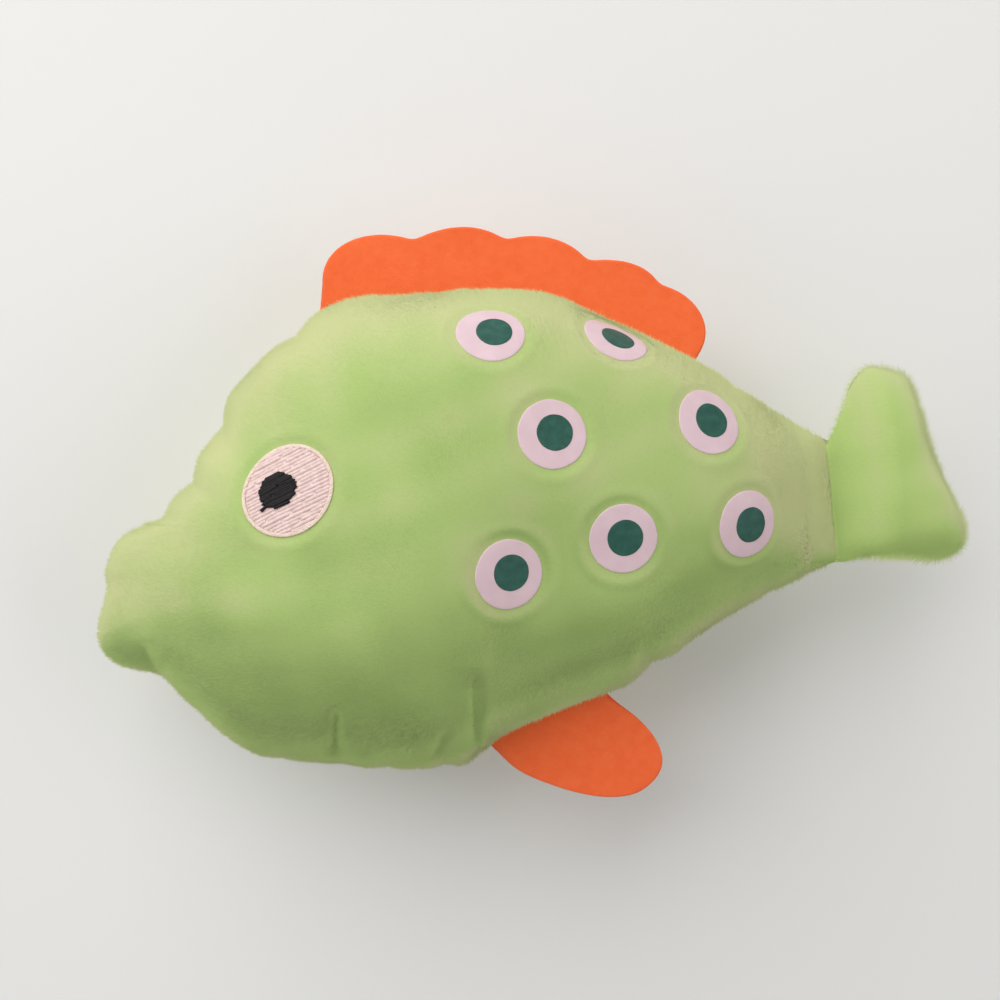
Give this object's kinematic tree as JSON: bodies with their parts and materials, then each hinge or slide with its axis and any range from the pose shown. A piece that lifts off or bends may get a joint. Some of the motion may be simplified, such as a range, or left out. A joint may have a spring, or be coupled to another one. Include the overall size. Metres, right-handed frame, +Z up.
{
  "type": "plush fish pet toy",
  "caption": "Stuffed plush fish pet toy lying on its side, with a sewn-on bending tail, felt fins, embroidered eyes, film spots and a squeaker inside.",
  "frame": {"origin": "centre of the footprint of the toy as it lies on its right side, on the surface under it", "axes": "+X towards the tail, +Y towards the back fin, +Z up through the left side"},
  "size_m": [0.2, 0.1314, 0.0718],
  "materials": {
    "green_plush": "short brushed plush, soft nap with light and dark strokes",
    "orange_felt": "thin needled felt with cut edges",
    "pale_film": "pressed-on film, faintly glossy",
    "green_film": "pressed-on film, faintly glossy",
    "white_thread": "embroidery thread with a satin lustre",
    "black_thread": "embroidery thread with a satin lustre",
    "fibre_fill": "loose white polyester fibre",
    "squeaker_plastic": "blown and moulded soft plastic"
  },
  "bodies": {
    "body": {"left_side_panel": "green_plush", "right_side_panel": "green_plush", "left_body_fill": "fibre_fill", "right_body_fill": "fibre_fill", "squeaker_bulb": "squeaker_plastic", "squeaker_plug": "squeaker_plastic", "squeaker_reed": "squeaker_plastic", "dorsal_fin_root": "orange_felt", "belly_fin_root": "orange_felt", "left_eye_white": "white_thread", "left_eye_rim": "white_thread", "right_eye_white": "white_thread", "right_eye_rim": "white_thread", "left_eye_pupil": "black_thread", "right_eye_pupil": "black_thread", "left_spot_1": "pale_film", "left_spot_2": "pale_film", "left_spot_3": "pale_film", "left_spot_4": "pale_film", "left_spot_5": "pale_film", "left_spot_6": "pale_film", "left_spot_7": "pale_film", "right_spot_1": "pale_film", "right_spot_2": "pale_film", "right_spot_3": "pale_film", "right_spot_4": "pale_film", "right_spot_5": "pale_film", "right_spot_6": "pale_film", "right_spot_7": "pale_film", "left_spot_centre_1": "green_film", "left_spot_centre_2": "green_film", "left_spot_centre_3": "green_film", "left_spot_centre_4": "green_film", "left_spot_centre_5": "green_film", "left_spot_centre_6": "green_film", "left_spot_centre_7": "green_film", "right_spot_centre_1": "green_film", "right_spot_centre_2": "green_film", "right_spot_centre_3": "green_film", "right_spot_centre_4": "green_film", "right_spot_centre_5": "green_film", "right_spot_centre_6": "green_film", "right_spot_centre_7": "green_film"},
    "tail": {"left_tail_panel": "green_plush", "right_tail_panel": "green_plush", "tail_fill": "fibre_fill"},
    "back_fin_flap": {"dorsal_fin": "orange_felt"},
    "belly_fin_flap": {"belly_fin": "orange_felt"}
  },
  "joints": [
    {"name": "tail_bend", "type": "hinge", "parent": "body", "child": "tail", "pos_m": [0.07158, 0.00265, 0.03565], "axis": [-0.0902, 0.9959, 0], "range_deg": [-50, 50], "stiffness_Nm_per_rad": 0.02},
    {"name": "back_fin_fold", "type": "hinge", "parent": "body", "child": "back_fin_flap", "pos_m": [-0.0473, 0.05833, 0.03565], "axis": [0.9921, -0.1252, 0], "range_deg": [-70, 70], "stiffness_Nm_per_rad": 0.0008},
    {"name": "belly_fin_fold", "type": "hinge", "parent": "body", "child": "belly_fin_flap", "pos_m": [-0.00814, -0.05642, 0.03565], "axis": [0.9146, 0.4043, 0], "range_deg": [-70, 70], "stiffness_Nm_per_rad": 0.0008}
  ]
}
